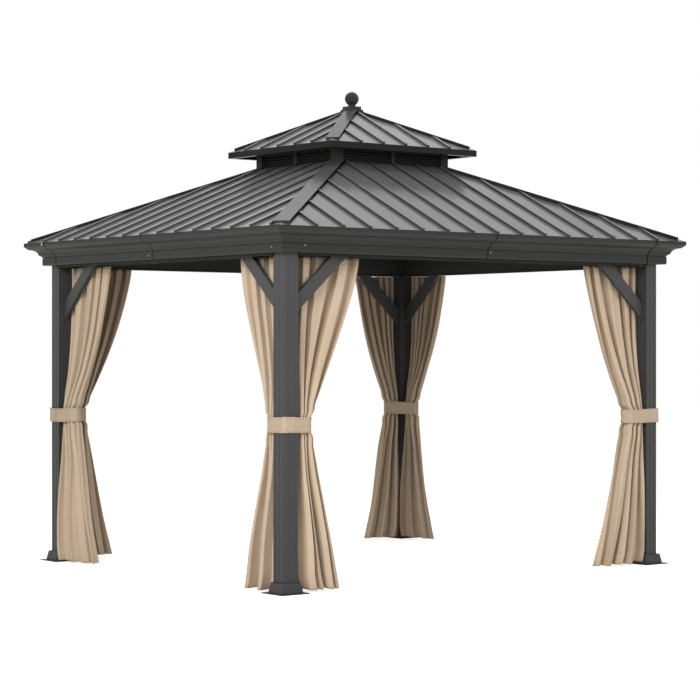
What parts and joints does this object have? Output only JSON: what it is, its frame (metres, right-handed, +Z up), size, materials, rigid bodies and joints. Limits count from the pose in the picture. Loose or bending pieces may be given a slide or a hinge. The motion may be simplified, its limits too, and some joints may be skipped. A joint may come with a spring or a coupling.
{
  "type": "metal gazebo",
  "caption": "Hard-top metal gazebo with a two-tier standing-seam hip roof on fluted posts, knee braces and gathered curtains tied to the posts.",
  "frame": {"origin": "middle of the footprint, on the ground", "axes": "+Z up, +X along the longer side from the west posts to the east posts, +Y from the south posts to the north posts"},
  "size_m": [3.3718, 2.9786, 3.168],
  "materials": {
    "powder_coated_frame": "fine-textured charcoal powder coat",
    "powder_coated_crown": "satin dark charcoal powder coat",
    "galvanised_roof_sheet": "satin grey coated steel sheet",
    "curtain_cloth": "matt woven polyester, beige"
  },
  "bodies": {
    "root": {"post_sw": "powder_coated_frame", "post_se": "powder_coated_frame", "post_ne": "powder_coated_frame", "post_nw": "powder_coated_frame", "boot_sw": "powder_coated_frame", "boot_se": "powder_coated_frame", "boot_ne": "powder_coated_frame", "boot_nw": "powder_coated_frame", "braces_sw": "powder_coated_frame", "braces_se": "powder_coated_frame", "braces_ne": "powder_coated_frame", "braces_nw": "powder_coated_frame", "corner_sw": "powder_coated_crown", "corner_se": "powder_coated_crown", "corner_ne": "powder_coated_crown", "corner_nw": "powder_coated_crown", "beam_south": "powder_coated_crown", "beam_east": "powder_coated_crown", "beam_north": "powder_coated_crown", "beam_west": "powder_coated_crown", "curtain_tracks": "powder_coated_crown", "roof_frame": "powder_coated_crown", "roof_south": "galvanised_roof_sheet", "roof_east": "galvanised_roof_sheet", "roof_north": "galvanised_roof_sheet", "roof_west": "galvanised_roof_sheet", "hip_cap_sw": "galvanised_roof_sheet", "hip_cap_se": "galvanised_roof_sheet", "hip_cap_ne": "galvanised_roof_sheet", "hip_cap_nw": "galvanised_roof_sheet", "vent_south": "powder_coated_crown", "vent_east": "powder_coated_crown", "vent_north": "powder_coated_crown", "vent_west": "powder_coated_crown", "upper_roof_south": "galvanised_roof_sheet", "upper_roof_east": "galvanised_roof_sheet", "upper_roof_north": "galvanised_roof_sheet", "upper_roof_west": "galvanised_roof_sheet", "upper_hip_caps": "galvanised_roof_sheet", "finial": "powder_coated_frame", "curtains_sw": "curtain_cloth", "curtains_se": "curtain_cloth", "curtains_ne": "curtain_cloth", "curtains_nw": "curtain_cloth", "tie_sw": "curtain_cloth", "tie_se": "curtain_cloth", "tie_ne": "curtain_cloth", "tie_nw": "curtain_cloth"}
  },
  "joints": []
}
